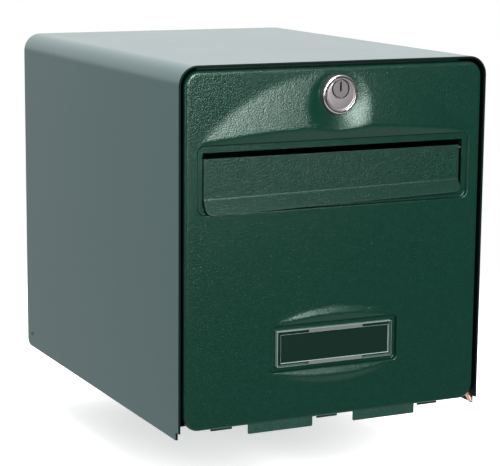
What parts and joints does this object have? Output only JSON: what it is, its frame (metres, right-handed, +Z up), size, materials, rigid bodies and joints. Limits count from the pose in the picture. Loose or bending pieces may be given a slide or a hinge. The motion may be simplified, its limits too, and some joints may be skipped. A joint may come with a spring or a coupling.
{
  "type": "wall mounted mailbox",
  "caption": "Wall-hung sheet steel mailbox with a deep arched casing, a bottom-hinged locking door, a lift-up mail flap and a clear name window",
  "frame": {"origin": "middle of the four wall holes, on the outer face of the back panel", "axes": "+X to the right as seen from the front, +Y into the wall, +Z up; the door faces -Y"},
  "size_m": [0.2824, 0.3696, 0.301],
  "materials": {
    "green_coat": "satin grained powder coat",
    "green_coat_smooth": "smooth satin powder coat",
    "zinc_plate": "bright zinc plate",
    "copper_rod": "coppered steel wire",
    "nickel": "bright nickel",
    "satin_nickel": "satin nickel",
    "gasket_rubber": "matt",
    "clear_plastic": "clear gloss",
    "clip_plastic": "glossy translucent"
  },
  "bodies": {
    "casing": {"casing_shell": "green_coat_smooth", "back_panel": "green_coat_smooth", "floor_panel": "green_coat_smooth", "header_rail": "green_coat_smooth", "casing_rivets": "zinc_plate", "hinge_rod": "copper_rod"},
    "door": {"door_skin": "green_coat", "hinge_leaf_left": "green_coat", "hinge_leaf_right": "green_coat", "flap_rod": "zinc_plate", "flap_bracket_left": "zinc_plate", "flap_bracket_right": "zinc_plate", "lock_gasket": "gasket_rubber", "lock_housing": "satin_nickel", "lock_bezel": "nickel", "lock_nut": "zinc_plate", "window_cover": "clear_plastic", "window_clip_upper": "clip_plastic", "window_clip_lower": "clip_plastic"},
    "flap": {"mail_flap": "green_coat"},
    "lock": {"lock_plug": "satin_nickel", "lock_cam": "zinc_plate", "cam_nut": "zinc_plate"}
  },
  "joints": [
    {"name": "door_hinge", "type": "hinge", "parent": "casing", "child": "door", "pos_m": [0, -0.36, -0.1405], "axis": [1, 0, 0], "range_deg": [0, 99]},
    {"name": "flap_hinge", "type": "hinge", "parent": "door", "child": "flap", "pos_m": [0, -0.3584, 0.0735], "axis": [-1, 0, 0], "range_deg": [0, 85]},
    {"name": "lock_turn", "type": "hinge", "parent": "door", "child": "lock", "pos_m": [0, -0.365, 0.1276], "axis": [0, -1, 0], "range_deg": [0, 90]}
  ]
}
